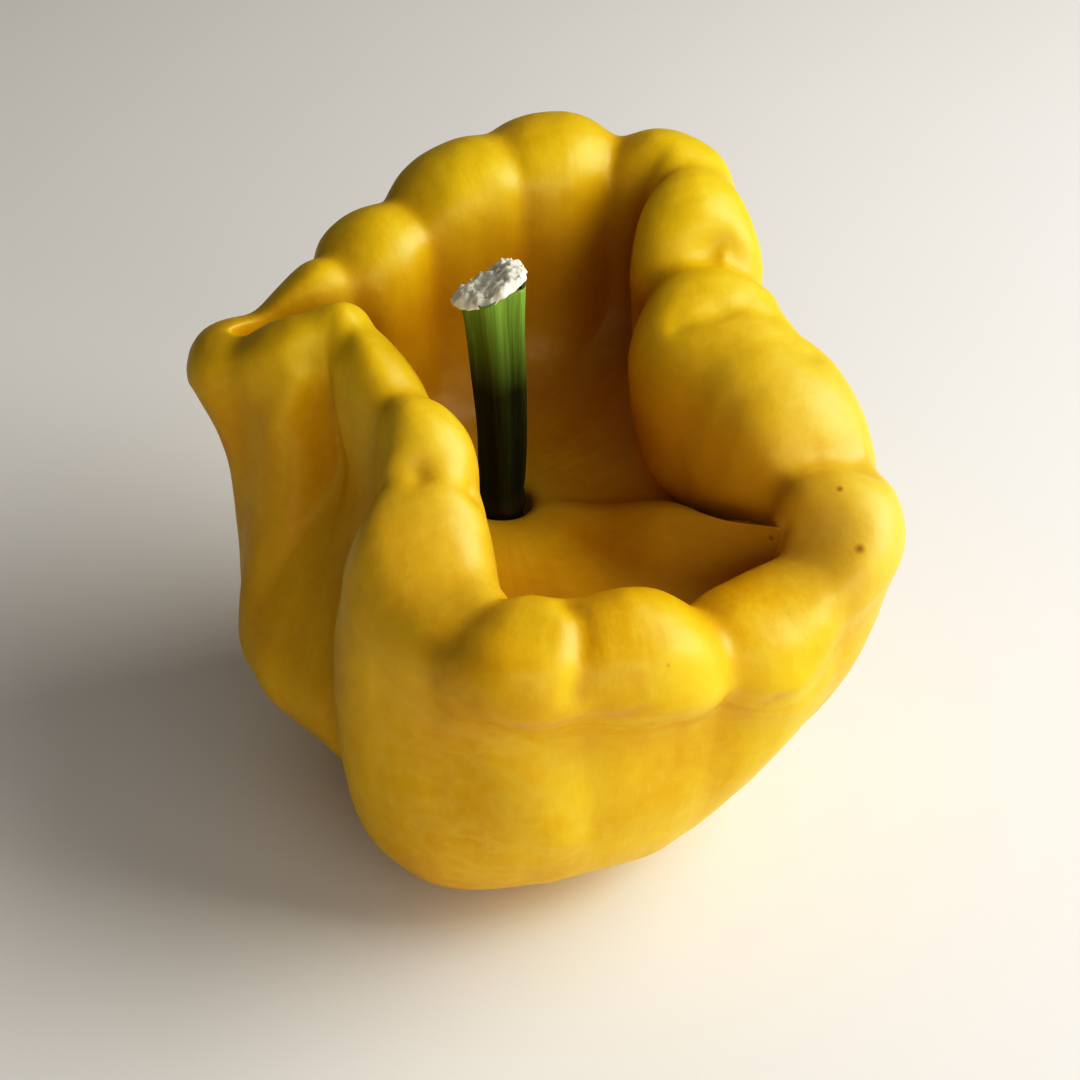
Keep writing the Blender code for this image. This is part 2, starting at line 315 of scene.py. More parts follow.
# %% The hollow
# How far in and how far down from the middle of the roll the inner face is,
# then where the wall meets the floor: how far from the stalk, how high, and in
# which direction from it (degrees).
HOLLOW = {
    "front left": (13, 6, 41, 62, -86),
    "front right": (14, 6, 40, 62, -67),
    "right front": (18, 3, 37, 61, -46),
    "nose": (15.5, 0, 38, 71, -26),
    "ear front": (18, 11, 34, 64, -6),
    "ear back": (19, 18, 30, 65, 20),
    "right back": (12, 24, 32, 67, 44),
    "corner": (8, 26, 36, 68, 61),
    "back": (15, 26, 31, 68, 78),
    "back left": (13, 24, 26, 68, 105),
    "left back": (12, 18, 26, 71, 138),
    "small left": (5, 10, 33, 79, 162),
    "knob": (1, 6, 45, 83, 171),
    "fin": (4, 10, 36, 80, 173),
    "fin top": (7, 20, 24, 73, 176),
    "inner left": (8, 24, 13, 68, 207),
    "cheek top": (6, 20, 22, 66, 246),
    "cheek": (8, 11, 34, 64, 260),
    "cheek front": (8, 7, 41, 62, 267),
}

# The floor of the cup where the stalk grows from it, and the resting flat.
SEAT = np.array([-9.6, 14.0, 60.0])
SEAT_RADIUS = 5.6
SEAT_DEPTH = 3.0
SEAT_TURN = -86.0
FLAT_RADIUS = 25.0
print("floor of the cup is", SEAT[2], "mm above the table")

# %% [markdown]
# ## The creases
#
# Between two lobes the flesh is pulled in, because the veins that run from the
# blossom end to the stalk do not stretch as the flesh between them swells.
# Some creases are deep enough to part two lobes and others are only a dimple,
# so each has its own numbers.

# %% The creases
# After each lobe: the part of the roll taken away outside, on top and inside,
# how far the crease runs on down the wall in millimetres, and how tight it is.
CREASE = {
    "front left": (0.22, 0.10, 0.05, 1.5, 1.8),
    "front right": (0.45, 0.42, 0.2, 2.0, 2.2),
    "right front": (0.28, 0.26, 0.2, 1.5, 2.0),
    "nose": (0.25, 0.38, 0.14, 2.0, 2.4),
    "ear front": (0.06, 0.05, 0.04, 0.5, 3.0),
    "ear back": (0.25, 0.34, 0.35, 3.0, 2.6),
    "right back": (0.25, 0.20, 0.2, 3.0, 2.6),
    "corner": (0.40, 0.40, 0.3, 5.0, 2.2),
    "back": (0.25, 0.16, 0.12, 4.0, 2.6),
    "back left": (0.40, 0.36, 0.25, 5.0, 2.2),
    "left back": (0.35, 0.30, 0.2, 3.5, 2.2),
    "small left": (0.35, 0.30, 0.0, 3.0, 2.2),
    "knob": (0.30, 0.25, 0.0, 2.0, 2.2),
    "fin": (0.10, 0.05, 0.05, 0.8, 2.2),
    "fin top": (0.12, 0.16, 0.15, 1.0, 2.4),
    "inner left": (0.25, 0.36, 0.25, 1.0, 2.2),
    "cheek top": (0.14, 0.16, 0.10, 0.6, 2.6),
    "cheek": (0.0, 0.0, 0.0, 0.0, 2.2),
    "cheek front": (0.08, 0.20, 0.10, 0.8, 2.2),
}
print("deepest crease:", max(CREASE, key=lambda name: CREASE[name][0]))

# %% [markdown]
# ## Smooth lines through the numbers
#
# The tables give a few places; the skin is what passes smoothly through them.
# A cubic curve with matched slopes does this, and it goes exactly through each
# number, which a Bezier handle would not promise.  One version closes on
# itself, for going round the rim, and one is open, for going along a cut from
# the blossom end over the rim to the stalk.

# %% Curves through values


def ring_spline(knots, values, places):
    """Smooth closed curve through values set at knots in 0..1."""
    count = len(knots)
    knots = np.concatenate([knots[-2:] - 1.0, knots, knots[:2] + 1.0])
    values = np.concatenate([values[-2:], values, values[:2]])
    slopes = (values[2:] - values[:-2]) / (knots[2:] - knots[:-2])[:, None]
    left = np.clip(np.searchsorted(knots, places, side="right") - 1, 2, count + 1)
    width = (knots[left + 1] - knots[left])[:, None]
    t = ((places - knots[left]) / width[:, 0])[:, None]
    return (
        values[left] * (2 * t**3 - 3 * t**2 + 1)
        + slopes[left - 1] * width * (t**3 - 2 * t**2 + t)
        + values[left + 1] * (3 * t**2 - 2 * t**3)
        + slopes[left] * width * (t**3 - t**2)
    )


def line_spline(knots, points, places):
    """Smooth open curve through points[k] at knots[k], one row a place."""
    gaps = np.diff(knots)[:, None]
    steps = np.diff(points, axis=0) / gaps[..., None]
    slopes = np.empty_like(points)
    slopes[0] = steps[0]
    slopes[-1] = steps[-1]
    before = gaps[:-1, :, None]
    after = gaps[1:, :, None]
    slopes[1:-1] = (steps[:-1] * after + steps[1:] * before) / (before + after)
    left = np.clip(np.searchsorted(knots, places, side="right") - 1, 0, len(knots) - 2)
    rows = np.arange(len(places))
    width = gaps[left]
    t = ((places - knots[left]) / width[:, 0])[:, None]
    return (
        points[left, rows] * (2 * t**3 - 3 * t**2 + 1)
        + slopes[left, rows] * width * (t**3 - 2 * t**2 + t)
        + points[left + 1, rows] * (3 * t**2 - 2 * t**3)
        + slopes[left + 1, rows] * width * (t**3 - t**2)
    )


def rim_places():
    """Where each lobe starts and ends, as parts of one, and the way round in mm."""
    middles = np.array([ROLL[name][:3] for name in ROLL], float)
    steps = np.linalg.norm(np.roll(middles, -1, axis=0) - middles, axis=1)
    ends = np.cumsum(steps) / steps.sum()
    return np.concatenate([[0.0], ends[:-1]]), ends, steps.sum()


STARTS, ENDS, RIM_LENGTH = rim_places()
print("length of the rim, mm:", round(RIM_LENGTH))

# %% [markdown]
# ## Directions out of the roll
#
# A lobe swells at right angles to the rim, so at each place we need the level
# direction that points out of it.  Reading it over a short length of the rim,
# rather than at one point, keeps neighbouring cuts from crossing in the tight
# turns.

# %% Directions
CREASE_ROUNDING = 0.006  # keeps the bottom of a crease from being a sharp edge


def heading(degrees):
    """Level direction at an angle from +X."""
    turn = np.radians(degrees)
    return np.stack([np.cos(turn), np.sin(turn), np.zeros_like(turn)], axis=-1)


def ring_outward(middles, around, reach):
    """Level direction out of the roll, read over a little of its length."""
    ahead = ring_spline(STARTS, middles, (around + reach) % 1.0)
    behind = ring_spline(STARTS, middles, (around - reach) % 1.0)
    along = ahead - behind
    outward = np.stack([along[:, 1], -along[:, 0], np.zeros(len(along))], axis=1)
    return outward / np.linalg.norm(outward, axis=1)[:, None]


def crease_share(around):
    """How much each crease pulls in at each place: outside, top, inside, wall."""
    cut = np.zeros((len(around), 4))
    for index, name in enumerate(ROLL):
        *amounts, tight = CREASE[name]
        where = 0.5 * (STARTS[index] + ENDS[index])
        half = 0.5 * (ENDS[index] - STARTS[index])
        gap = np.abs((around - where + 0.5) % 1.0 - 0.5) / half
        share = np.clip(1.0 - np.sqrt(gap**2 + CREASE_ROUNDING), 0.0, 1.0) ** tight
        cut += share[:, None] * np.array(amounts)
    return cut


print("crease between the front lobes:", crease_share(np.array([0.5 * ENDS[0]])).round(2))

# %% [markdown]
# ## A cut through the fruit
#
# Slice the squash at one place on its rim and follow the skin with a finger:
# out from the middle of the resting flat, up the wall, in at the waist, round
# the roll, down into the hollow and along its floor to the stalk.  Seventeen
# points, read from the tables, are enough to fix that line.

# %% One cut
# The columns that hold directions, once the three tables stand side by side.
WALL_WAY, FLOOR_WAY = 6, 15

# The length of rim over which directions out of the roll and into it are read,
# as parts of one, and the share of each reach at a point between two sides.
OUTWARD_REACH, INWARD_REACH = 0.014, 0.045
BETWEEN = 0.72

# The heights of two places on the wall, in millimetres, and how much of a
# crease's pull reaches them and the face of the hollow.
LOW, BELLY = 12.0, 32.0
LOW_PULL, BELLY_PULL, FACE_PULL = 0.3, 0.8, 0.8

# The point under the roll, where it is tucked in and where it is not.
TUCKED_OUT, TUCKED_DOWN, STRAIGHT_DOWN = 0.84, 0.55, 0.35

# The point on the floor: how far out to the wall, how far up to its foot, and
# how much it is turned towards an even round.  Then the seat's rounded edge.
FLOOR_OUT, FLOOR_UP, FLOOR_EVEN = 0.6, 0.35, 0.35
SEAT_EDGE_OUT, SEAT_EDGE_UP = 1.6, 0.6


def at_height(places, height):
    """The same places at another height."""
    return np.hstack([places[:, :2], height])


def section(around):
    """The seventeen points of the cut at each place round the rim."""
    table = np.array([ROLL[n] + WALL[n] + HOLLOW[n] for n in ROLL], float)

    # A direction is smoothed as what it has gained on an even round.
    for way in (WALL_WAY, FLOOR_WAY):
        turned = np.unwrap(np.radians(table[:, way]))
        table[:, way] = np.degrees(turned) - 360.0 * STARTS
    row = ring_spline(STARTS, table, around)
    foot = heading(row[:, WALL_WAY] + 360.0 * around)
    ray = heading(row[:, FLOOR_WAY] + 360.0 * around)
    ring = heading(SEAT_TURN + 360.0 * around)
    outward = ring_outward(table[:, :3], around, OUTWARD_REACH)
    inward = -ring_outward(table[:, :3], around, INWARD_REACH)
    up = np.array([0.0, 0.0, 1.0])
    middle = row[:, :3]
    out, inn, top, _, low, belly, waist_out, waist_up = row[:, 3:11].T[..., None]
    face_in, face_down, far, high, _ = row[:, 11:].T[..., None]
    less_out, less_top, less_in, pull = crease_share(around).T[..., None]

    # The wall: a crease goes on down it, shallower towards the foot.
    low = foot * (low - LOW_PULL * pull) + up * LOW
    belly = foot * (belly - BELLY_PULL * pull) + up * BELLY
    waist = at_height(middle + outward * (waist_out - pull), waist_up)

    # The roll: where the waist lies well in, it is tucked round under itself.
    tuck = np.clip(1.0 - waist_out / out, 0.0, 1.0)
    out, inn, top = out * (1 - less_out), inn * (1 - less_in), top * (1 - less_top)
    side = middle + out * outward
    tucked = middle + out * (TUCKED_OUT * outward - TUCKED_DOWN * up)
    under = tuck * tucked + (1 - tuck) * (side + STRAIGHT_DOWN * (waist - side))

    # The hollow: a steep face, then the floor.
    face = middle + inward * face_in * (1 - FACE_PULL * less_in) - up * face_down
    corner = at_height(SEAT + ray * far, high)
    turned = (1 - FLOOR_EVEN) * ray + FLOOR_EVEN * ring
    floor = at_height(SEAT + turned * FLOOR_OUT * far, SEAT[2] + FLOOR_UP * (high - SEAT[2]))
    return np.array(
        [
            foot * 0.0,
            foot * FLAT_RADIUS,
            low,
            belly,
            waist,
            under,
            side,
            middle + BETWEEN * (out * outward + top * up),
            middle + top * up,
            middle + BETWEEN * (inn * inward + top * up),
            middle + inn * inward,
            face,
            corner,
            floor,
            SEAT + ring * (SEAT_RADIUS + SEAT_EDGE_OUT) + up * SEAT_EDGE_UP,
            SEAT + ring * SEAT_RADIUS - up * SEAT_DEPTH,
            np.tile(SEAT - up * SEAT_DEPTH, (len(around), 1)),
        ]
    )


# How far along the cut each point sits, as parts of one.
KNOTS = np.array([0, 9, 18, 27, 38, 46, 53, 60, 67, 74, 81, 89, 99, 107, 114, 117.5, 121]) / 121.0


def fruit_surface(around, along):
    """Places on the skin, in millimetres, round the rim and along the cut."""
    return line_spline(KNOTS, section(around), along)


first_cut = fruit_surface(np.zeros(5), np.linspace(0, 1, 5))
print("five places along the first cut, mm:", first_cut.round(0).tolist())

# %% [markdown]
# ## Folds, dints and ribs
#
# Growing skin also carries marks that belong to no one lobe: the fold where
# the nose was squeezed against the big ear-shaped lobe, wrinkles over that
# ear, ribs on the fin at the left, and the groove that parts the two front
# lobes and runs on down the wall.  Each is drawn as a line on the skin, with a
# width and a height; the skin is pushed along its own direction near the
# line, the way a sculptor drags a tool.

# %% Pressed lines
# Line (x, y, z in mm), width, and height, which is below nought for a dent.
PRESSES = {
    "fold by the ear": (((30, -6, 66), (44, -8, 75), (56, -7, 86), (66, -8, 88)), 4.5, -2.0),
    "fold over the ear": (((20, 38, 92), (28, 40, 104), (38, 39, 110), (46, 38, 104)), 3.5, -2.5),
    "dint in the ear": (((36, 21, 107), (46, 18, 105), (54, 15, 98)), 3.5, -1.2),
    "wrinkle over the ear": (((27, 19, 102), (34, 21, 104), (42, 25, 104), (47, 24, 102)), 2.2, -0.9),
    "crease of the cheek": (((-36, -23, 68), (-32, -24, 84), (-24, -24, 94), (-14, -23, 90)), 3, -2.2),
    "hollow by the cheek": (((-32, -56, 62), (-16, -64, 68)), 8, -2.0),
    "first rib of the fin": (((-38, 4, 102), (-46, -3, 76), (-55, -10, 50)), 3.2, 1.6),
    "second rib of the fin": (((-44, 4, 101), (-52, -1, 78), (-61, -7, 50)), 3.2, 1.6),
    "third rib of the fin": (((-50, 4, 98), (-58, 2, 82), (-66, -1, 55)), 3.2, 1.4),
    "crest of the front lobes": (((-9, -49, 83), (4, -52, 84), (15, -50, 84)), 6, 1.5),
    "groove between them": (((4, -48, 85), (7.3, -55, 83), (7.6, -61, 80), (6.5, -65, 74)), 2.4, -1.3),
    "soft hollow under them": (((-12, -64, 60), (6, -64, 61), (22, -60, 60), (34, -52, 56)), 5, -0.9),
    "furrow down the front": (((7, -64, 66), (8.5, -60, 56), (9, -58, 46), (9.5, -59, 34)), 4.5, -0.7),
}


def line_gap(points, line):
    """Distance of each point from a bent line."""
    line = np.array(line, float)
    nearest = np.full(len(points), 1e9)
    for start, end in zip(line[:-1], line[1:]):
        run = end - start
        share = np.clip((points - start) @ run / (run @ run), 0.0, 1.0)
        gap = np.linalg.norm(points - start - share[:, None] * run, axis=1)
        nearest = np.minimum(nearest, gap)
    return nearest


print("pressed lines:", len(PRESSES))

# %% [markdown]
# ## Unevenness
#
# No vegetable is as smooth as a curve.  Slow waves a finger wide change the
# outline a little, ripples as wide as a pea catch the light, and the finest
# ones only break up the highlights.  Smooth three-dimensional noise gives all
# three, and as it is read at the place of each point it has no seams.

# %% Waves in the skin
# Height and size of each set of waves, in millimetres.
WAVES = ((1.4, 26.0), (0.30, 11.0), (0.09, 4.5))


def wave(points, size, shift=0.0):
    """Smooth noise, about -1 to 1, with waves of one size.

    Another shift reads another part of the noise, so no two marks are alike.
    """
    return np.array([noise.noise(Vector(p) / size + Vector((shift, 0, 0))) for p in points])


print("highest wave, mm:", round(sum(height for height, size in WAVES), 2))

# %% [markdown]
# ## The ball that becomes a squash
#
# A fruit has one closed skin.  So does a ball, and a ball already has what we
# need: lines from pole to pole, which become the cuts from blossom end to
# stalk, and rings, which become lines round the rim.  Every point of the ball
# is moved to its place on the skin, first by the tables and then by the
# pressed lines and waves.  The curves between the tables' points meet in faint
# edges that would catch the light, so in between the skin is eased a few times.

# %% Push the ball into shape
# Points round and along, close enough for the finest waves.
ROUND, ALONG = 440, 188
EASING = 8


def set_places(shape, places):
    """Move every point of a bmesh and refresh its directions."""
    for vert, place in zip(shape.verts, places):
        vert.co = place * MM
    shape.normal_update()
    return np.array([v.normal for v in shape.verts])


fruit_shape = bmesh.new()
bmesh.ops.create_uvsphere(fruit_shape, u_segments=ROUND, v_segments=ALONG, radius=1.0)
ball = np.array([v.co for v in fruit_shape.verts])
around = (np.arctan2(ball[:, 1], ball[:, 0]) / (2 * math.pi)) % 1.0
along = np.arccos(np.clip(-ball[:, 2], -1, 1)) / math.pi

set_places(fruit_shape, fruit_surface(around, along))
axes = {"use_axis_x": True, "use_axis_y": True, "use_axis_z": True}
for _ in range(EASING):
    bmesh.ops.smooth_vert(fruit_shape, verts=fruit_shape.verts, factor=0.5, **axes)
skin = np.array([v.co for v in fruit_shape.verts]) / MM
facing = set_places(fruit_shape, skin)
for line, width, height in PRESSES.values():
    push = height * np.exp(-((line_gap(skin, line) / width) ** 2))
    skin = skin + facing * push[:, None]
for height, size in WAVES:
    skin = skin + facing * (height * wave(skin, size))[:, None]
print("points in the skin:", len(skin))

# %% [markdown]
# ## The corky keel
#
# Where the front lobes fold over onto the wall there is a fine soft line, and
# beside it a low lip where the skin has healed over in thin tan cork, as
# squash skin does where a leaf or the ground rubbed it.  We find the line in
# the ball's own terms, a fixed part of the way along the cut, so that it
# follows the fold wherever the fold goes.

# %% The keel line
# How strong the line is under each lobe it passes.
KEEL = {"front left": 0.35, "front right": 0.8, "right front": 0.8, "nose": 0.3}
KEEL_ALONG = 0.352
KEEL_WIDTH = 0.0065
KEEL_WANDER = 0.004
KEEL_DEPTH, LIP_HEIGHT = 0.45, 0.2  # mm

strength = np.array([[KEEL.get(name, 0.0)] for name in ROLL])
strength = np.clip(ring_spline(STARTS, strength, around)[:, 0], 0.0, 1.0)
wander = KEEL_ALONG + KEEL_WANDER * wave(skin, 14.0, 3.0)
keel = strength * np.exp(-(((along - wander) / KEEL_WIDTH) ** 2))
lip = strength * np.exp(-(((along - wander + 2.2 * KEEL_WIDTH) / (1.6 * KEEL_WIDTH)) ** 2))
skin = skin + facing * (LIP_HEIGHT * lip - KEEL_DEPTH * keel)[:, None]
print("points touched by the keel:", int((keel > 0.1).sum()))

# %% [markdown]
# ## Healed skin on the front wall
#
# Below the front lobes a thin pinkish line wanders to the right, where a torn
# strip of skin has closed, and under it the wall is marbled with pale curls
# of old scurf.  The line is given by the places it passes, in millimetres.
# It breaks off and starts again, so its strength is multiplied by noise.
# Three lobes get a painted highlight, a paler patch where light falls on them;
# how much is remembered for each point in the same way.

# %% Healed line, marbled patch and painted highlights on lobes
# Places and widths are in millimetres; the patch has a middle and a reach.
HEALED = ((-7, -67, 68), (3, -66, 67), (11, -64.5, 67), (19, -62.5, 69), (28, -58, 64))
HEALED_RIGHT = ((28, -58, 60), (37, -50, 52), (46, -49, 60), (55, -40.5, 60.5), (63, -32, 64))
HEALED_WIDTH, HEALED_DEPTH = 1.4, 0.30
MARBLED, MARBLED_REACH = (-13, -60, 40), 27.0
# Painted highlights: three lobes are painted paler where light falls on them.
PAINTED_HIGHLIGHTS = {"nose": 0.5, "ear front": 0.28, "cheek": 0.22}
PAINTED_HIGHLIGHT_REACH = 1.7  # times how far the lobe swells outward

gap = np.minimum(line_gap(skin, HEALED), line_gap(skin, HEALED_RIGHT))
healed = np.exp(-((gap / HEALED_WIDTH) ** 2))
healed *= np.clip(0.75 + 1.1 * wave(skin, 6.0, 5.0), 0.0, 1.0)
marbled = np.exp(-((np.linalg.norm(skin - np.array(MARBLED), axis=1) / MARBLED_REACH) ** 4))
painted_highlight = np.zeros(len(skin))
for name, share in PAINTED_HIGHLIGHTS.items():
    gap = np.linalg.norm(skin - np.array(ROLL[name][:3]), axis=1) / ROLL[name][3]
    painted_highlight = np.maximum(painted_highlight, share * np.exp(-((gap / PAINTED_HIGHLIGHT_REACH) ** 4)))
skin = skin - facing * (HEALED_DEPTH * healed)[:, None]
print("points on the healed line:", int((healed > 0.3).sum()))

# %% [markdown]
# ## Veins under the skin
#
# From blossom end to stalk run the veins that feed the fruit.  They show as
# very low, soft ribs on the wall and down into the hollow.  They are made as
# waves that are narrow round the fruit and long along it, by reading the noise
# on a tube: round the tube is round the rim, and up the tube is along the cut.

# %% Growth lines
# Millimetres, but for the stretch: a rib is as long as its width over this.
CUT_LENGTH = 300.0
RIB_WIDTH, RIB_HEIGHT, RIB_STRETCH = 7.0, 0.12, 0.12


def on_tube(radius, angle, height):
    """Places round a tube and up it, as rows of x, y, z."""
    return np.stack([radius * np.cos(angle), radius * np.sin(angle), height + 0 * angle], axis=1)


turn = 2 * math.pi * around
growth = on_tube(RIM_LENGTH / (2 * math.pi), turn, CUT_LENGTH * along)
ribs = wave(growth * np.array([1.0, 1.0, RIB_STRETCH]), RIB_WIDTH, 9.0)

# The ribs fade out at the scar and at the stalk.
open_skin = np.clip(along / 0.12, 0, 1) * np.clip((0.93 - along) / 0.1, 0, 1)
skin = skin + facing * (RIB_HEIGHT * ribs * open_skin)[:, None]
print("rib height, mm:", round(RIB_HEIGHT * float(np.abs(ribs).max()), 2))

# %% [markdown]
# ## The blossom end
#
# The flower grew on the flat that the squash now rests on, and dropped off.
# It leaves a round scar, pressed in a little, with a rough button in the
# middle.  It is out of sight on the table, but a hand that picks the squash up
# will find it, so it is made as carefully as the rest.

# %% The blossom scar
# Millimetres; the bowl reaches a little past the scar, out to sound skin.
SCAR_RADIUS = 9.0
BOWL_RADIUS, BOWL_DEPTH = SCAR_RADIUS + 4.0, 2.2
RING_WIDTH, RING_DEPTH = 1.6, 0.6
BUTTON_WIDTH, BUTTON_HEIGHT = 2.6, 0.9
SCAR_ROUGH = 0.35
reach = np.hypot(skin[:, 0], skin[:, 1])
beneath = along < 0.2
ring_dip = np.exp(-(((reach - SCAR_RADIUS) / RING_WIDTH) ** 2))
bowl = np.clip(1.0 - (reach / BOWL_RADIUS) ** 2, 0.0, 1.0)
button = np.exp(-((reach / BUTTON_WIDTH) ** 2))
rough = wave(skin, 2.2, 5.0)
grit = (SCAR_ROUGH * rough - BUTTON_HEIGHT * button) * (reach < SCAR_RADIUS + 3.0)
lift = BOWL_DEPTH * bowl + RING_DEPTH * ring_dip + grit
skin[:, 2] = np.where(beneath, skin[:, 2] + lift, skin[:, 2])
skin[:, 2] = np.maximum(skin[:, 2], 0.0)
scar = np.where(beneath, np.clip((SCAR_RADIUS + 0.8 - reach + 1.2 * rough) / 1.6, 0.0, 1.0), 0.0)
set_places(fruit_shape, skin)
print("depth of the scar, mm:", round(float(skin[beneath & (reach < 1.0), 2].max()), 1))

# %% [markdown]
# ## A mesh that remembers
#
# The skin material needs to know more than where a point is: whether it lies
# in a crease, in the hollow, on the keel or on the scar, and which way the
# fruit grew there.  Those are stored on the mesh as attributes, which move
# with it and, unlike a picture, have no resolution of their own to run out of.

# %% The fruit object


def finish_shape(name, shape):
    """Turn a bmesh into a smooth-shaded object in the scene."""
    mesh = bpy.data.meshes.new(name)
    shape.to_mesh(mesh)
    shape.free()
    mesh.shade_smooth()
    thing = bpy.data.objects.new(name, mesh)
    bpy.context.collection.objects.link(thing)
    return thing


def remember(thing, name, values):
    """Store one number, or one place in mm, for each point of a mesh."""
    values = np.asarray(values, float)
    kind, key, unit = ("FLOAT_VECTOR", "vector", MM) if values.ndim == 2 else ("FLOAT", "value", 1.0)
    layer = thing.data.attributes.new(name, kind, "POINT")
    layer.data.foreach_set(key, (values * unit).ravel())


fruit = finish_shape("golden_squash", fruit_shape)

# Painted shade in the creases reaches from the wall over the rim into the hollow, no further.
crease_shade = np.clip(crease_share(around)[:, :3].max(axis=1) / 0.4, 0.0, 1.0)
crease_shade *= np.clip((along - 0.25) / 0.1, 0, 1) * np.clip((0.85 - along) / 0.15, 0, 1)

# The painted shade of the hollow grows from the top of the rim inwards and is less again on the floor.
hollow_shade = np.clip((along - 0.60) / 0.10, 0.0, 1.0) - 0.65 * np.clip((along - 0.82) / 0.08, 0.0, 1.0)
marks = {
    "growth": growth,
    "crease_shade": crease_shade,
    "hollow_shade": hollow_shade,
    "along": along,
    "keel": np.clip(0.5 * keel + 0.4 * lip + healed, 0, 1),
    "marbled": marbled,
    "painted_highlight": painted_highlight,
    "scar": scar,
}
for name, values in marks.items():
    remember(fruit, name, values)
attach(fruit, "root")
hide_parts("squash_fruit")
print("faces in the fruit:", len(fruit.data.polygons))

# %% [markdown]
# ## Squash rind
#
# The skin of a golden squash is a thin waxy film over yellow flesh, so light
# goes a little way in and comes out warmer, and the highlights are wide and
# soft, like those on candle wax.  Its colour is golden, painted cleaner and
# paler on the shoulders as painted light, and painted darker and more orange
# in the creases and down in the hollow as painted shade.
# Fine paler streaks follow the veins, and there are a few brown specks where
# it was knocked.

# %% Rind: patterns and marks


def find_guides(tree, patterns, marks):
    """Named outputs for coats of colour to follow.

    A pattern is soft noise: the place it is read at, its size in mm, its
    detail and its roughness.  A mark is a number that the mesh remembers.
    """
    found = {}
    for name, (place, size, detail, rough) in patterns.items():
        values = {"Vector": place, "Scale": per_mm(size), "Detail": detail, "Roughness": rough}
        found[name] = add(tree, "ShaderNodeTexNoise", values).outputs["Fac"]
    for name in marks:
        found[name] = add(tree, "ShaderNodeAttribute", attribute_name=name).outputs["Fac"]
    return found


rind, tree, shader = new_material("waxy golden squash rind")
spot = add(tree, "ShaderNodeTexCoord").outputs["Object"]
grown = add(tree, "ShaderNodeAttribute", attribute_name="growth").outputs["Vector"]

# Streaks run along the veins: 2.4 mm wide and ten times as long.
stretch = {"Vector": grown, "Scale": (1.0, 1.0, 0.1)}
vein_place = add(tree, "ShaderNodeMapping", stretch).outputs["Vector"]
PATTERNS = {
    "patches": (spot, 28.0, 3.0, 0.55),
    "mottle": (spot, 2.5, 4.0, 0.6),
    "streaks": (vein_place, 2.4, 3.0, 0.6),
    "dusting": (spot, 9.0, 3.0, 0.55),
    "cork breaks": (spot, 1.8, 4.0, 0.7),
    "scar grain": (spot, 1.2, 5.0, 0.7),
    "wax": (spot, 6.0, 3.0, 0.55),
    "dimples": (spot, 3.2, 2.0, 0.4),
    "grain": (spot, 0.7, 2.0, 0.5),
}
MARKS = ("hollow_shade", "crease_shade", "along", "keel", "marbled", "painted_highlight", "scar")
guides = find_guides(tree, PATTERNS, MARKS)
guides["height"] = add(tree, "ShaderNodeSeparateXYZ", {"Vector": spot}).outputs["Z"]
print("guides for the rind:", len(guides))

# %% Rind: curls, painted highlights and cork
# Curls, about 7 mm wide, lie where a swirling noise is near its middle value.
tilt = {"Vector": spot, "Rotation": (0.0, 0.6, 0.3), "Scale": (0.6, 1.0, 1.3)}
curl_place = add(tree, "ShaderNodeMapping", tilt).outputs["Vector"]
swirl = {"Vector": curl_place, "Scale": per_mm(7.0), "Detail": 1.5, "Distortion": 0.7}
swirls = add(tree, "ShaderNodeTexNoise", swirl).outputs["Fac"]
off_middle = add(tree, "ShaderNodeMath", {0: swirls, 1: 0.5}, operation="SUBTRACT").outputs[0]
off_middle = add(tree, "ShaderNodeMath", {0: off_middle}, operation="ABSOLUTE").outputs[0]
guides["band"] = add(tree, "ShaderNodeMapRange", {0: off_middle, 1: 0.15, 2: 0.0}).outputs[0]

# Two guides multiplied: a mark, and a pattern that makes it uneven.  The four
# numbers say which values of the second turn into which shares.
PRODUCTS = {
    "curls": ("band", "marbled", (0.0, 1.0, 0.04, 0.17)),
    # Painted highlight: paler patches on three lobes, made uneven by the dusting.
    "painted highlights": ("painted_highlight", "dusting", (0.3, 0.7, 0.6, 1.0)),
    "cork": ("keel", "cork breaks", (0.35, 0.65, 0.25, 1.0)),
}
for name, (first, second, limits) in PRODUCTS.items():
    values = {0: guides[second], **dict(enumerate(limits, start=1))}
    uneven = add(tree, "ShaderNodeMapRange", values).outputs[0]
    product = add(tree, "ShaderNodeMath", {0: guides[first], 1: uneven}, operation="MULTIPLY")
    guides[name] = product.outputs[0]
print("uneven marks:", list(PRODUCTS))

# %% Rind: coats of colour


def paint_over(tree, colour, guides, coats):
    """Lay coats of colour over each other, as a painter glazes.

    A coat is the guide it follows, the two values of it between which the coat
    grows from nothing to full, how much a full coat covers, and its colour.
    """
    for guide, nothing, full, cover, paint in coats:
        limits = {0: guides[guide], 1: nothing, 2: full, 3: 0.0, 4: cover}
        share = add(tree, "ShaderNodeMapRange", limits).outputs[0]
        pair = {0: share, 6: colour, 7: srgb(paint)}
        colour = add(tree, "ShaderNodeMix", pair, data_type="RGBA").outputs[2]
    return colour


